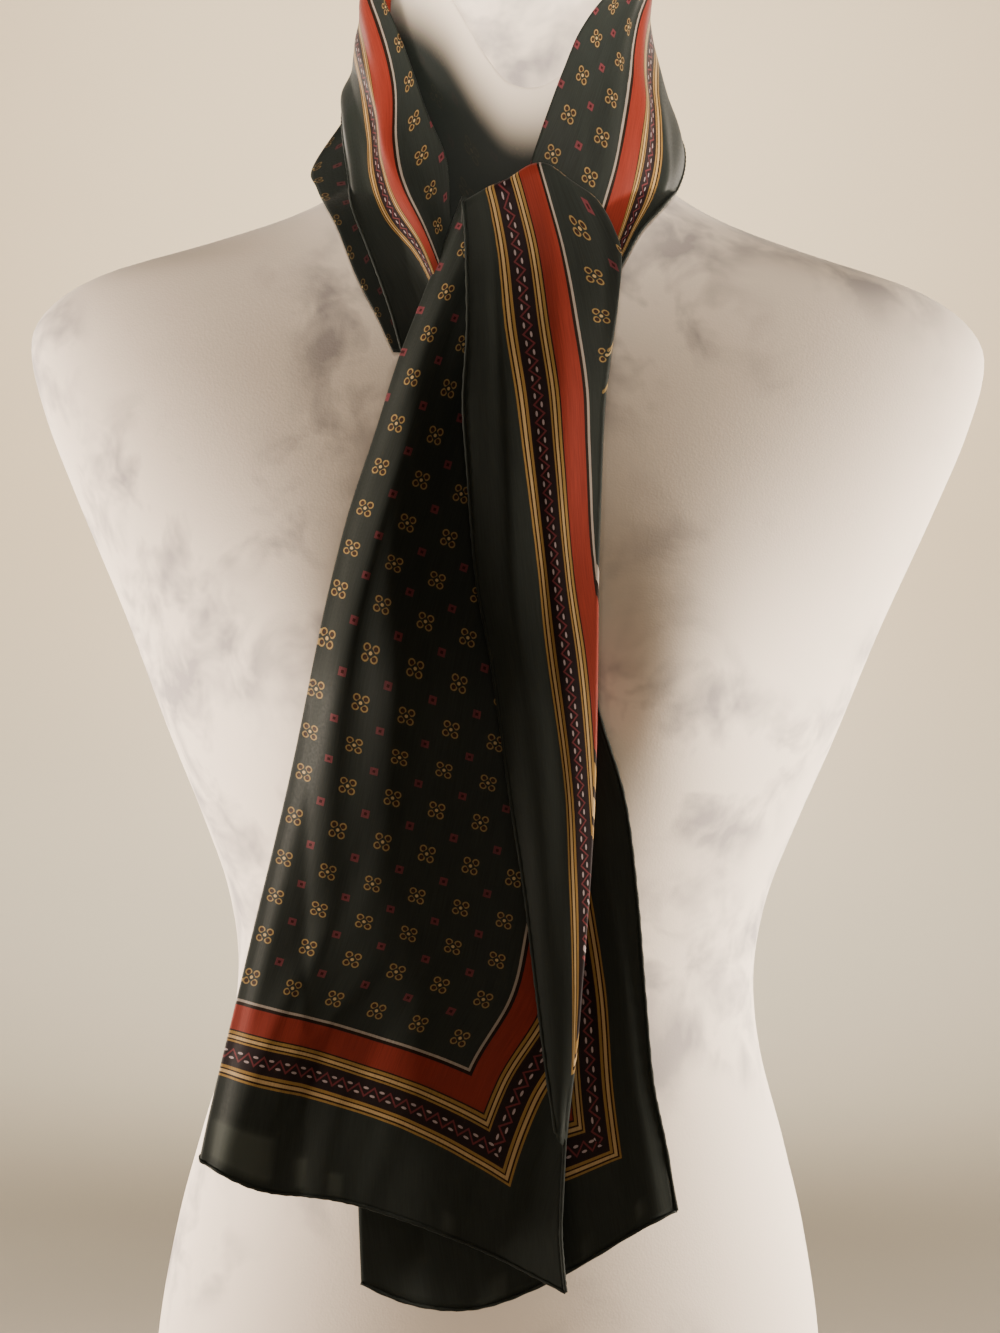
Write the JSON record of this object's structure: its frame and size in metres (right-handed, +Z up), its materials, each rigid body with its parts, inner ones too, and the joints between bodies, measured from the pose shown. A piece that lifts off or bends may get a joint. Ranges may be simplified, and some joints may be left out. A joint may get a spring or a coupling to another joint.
{
  "type": "scarf on a dress form",
  "caption": "Oblong printed scarf wound round the neck of a limbless dress form, its ends crossed and hanging in front.",
  "frame": {"origin": "centre of the dress form's flat bottom", "axes": "+Z up along the form's centre line, front of the form towards -Y, viewer's right is +X"},
  "size_m": [0.4222, 0.2467, 0.744],
  "materials": {
    "cover": "matte jersey cover",
    "scarf_print": "satin, thin silk-like weave, printed",
    "scarf_shade": "satin, thin silk-like weave, printed, inner layers"
  },
  "bodies": {
    "root": {"dress_form": "cover", "neck_back": "scarf_print", "neck_left": "scarf_print", "neck_left_under": "scarf_shade", "neck_right": "scarf_print", "front_tail": "scarf_print", "front_return": "scarf_shade", "lapel": "scarf_print", "under_tail": "scarf_print", "under_return": "scarf_shade"}
  },
  "joints": []
}
